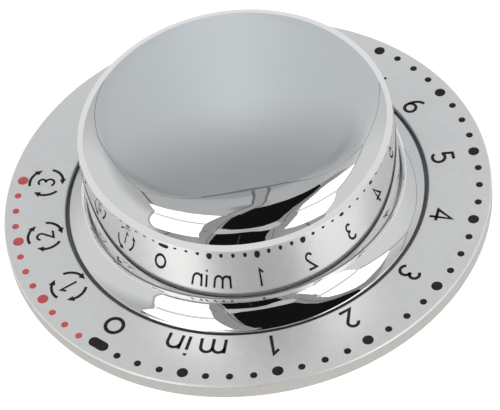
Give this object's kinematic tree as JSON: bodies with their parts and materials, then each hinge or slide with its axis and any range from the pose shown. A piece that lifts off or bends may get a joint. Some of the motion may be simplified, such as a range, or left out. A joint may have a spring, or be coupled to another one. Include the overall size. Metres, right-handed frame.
{
  "type": "rotary control dial",
  "caption": "Round chromed finger grip on a flat satin scale ring; the whole dial turns on a flat-backed rotary control.",
  "frame": {"origin": "centre of the housing's flat back, where the axis of turning meets the panel", "axes": "+Z out of the panel along the axis of turning; -Y towards the scale's 0 mark at rest"},
  "size_m": [0.0738, 0.0738, 0.0227],
  "materials": {
    "chrome": "mirror chrome plating",
    "satin_silver": "satin silver face with a printed scale",
    "black_plastic": "fine matt moulding",
    "grey_plastic": "fine moulding in dark grey",
    "black_foam": "adhesive foam",
    "zinc_steel": "zinc plated",
    "spring_steel": "bright rolled",
    "brass": "turned",
    "contact_metal": "gold flashed",
    "black_rubber": "matt",
    "white_plastic": "natural moulding",
    "tinned_steel": "tinned sheet",
    "board_brown": "paper laminate",
    "board_green": "solder-masked laminate"
  },
  "bodies": {
    "base": {"base_housing": "black_plastic", "base_plate": "black_plastic", "base_plate_screws": "zinc_steel", "threaded_inserts": "brass", "panel_gasket": "black_rubber", "glide_ring": "white_plastic", "control_case": "tinned_steel", "end_stop": "black_plastic", "detent_spring": "spring_steel", "track_wafer": "board_brown", "track_terminals": "tinned_steel", "threaded_bush": "zinc_steel", "shaft_o_ring": "black_rubber", "lock_washer": "zinc_steel", "hex_nut": "zinc_steel", "circuit_board": "board_green", "ribbon_connector": "white_plastic", "connector_contacts": "contact_metal"},
    "shaft": {"control_shaft": "brass", "retaining_ring": "spring_steel", "wiper_rotor": "black_plastic", "wiper_contact": "contact_metal"},
    "knob": {"knob_cap": "chrome", "knob_carrier": "grey_plastic", "dial_ring": "satin_silver", "dial_adhesive_ring": "black_foam", "cap_screws": "zinc_steel", "hub_spring_clip": "spring_steel"}
  },
  "joints": [
    {"name": "dial_turn", "type": "hinge", "parent": "base", "child": "shaft", "pos_m": [0, 0, 0], "axis": [0, 0, 1], "range_deg": [-180, 62.7]},
    {"name": "knob_pull", "type": "slide", "parent": "shaft", "child": "knob", "axis": [0, 0, 1], "range_m": [0, 0.02]}
  ]
}
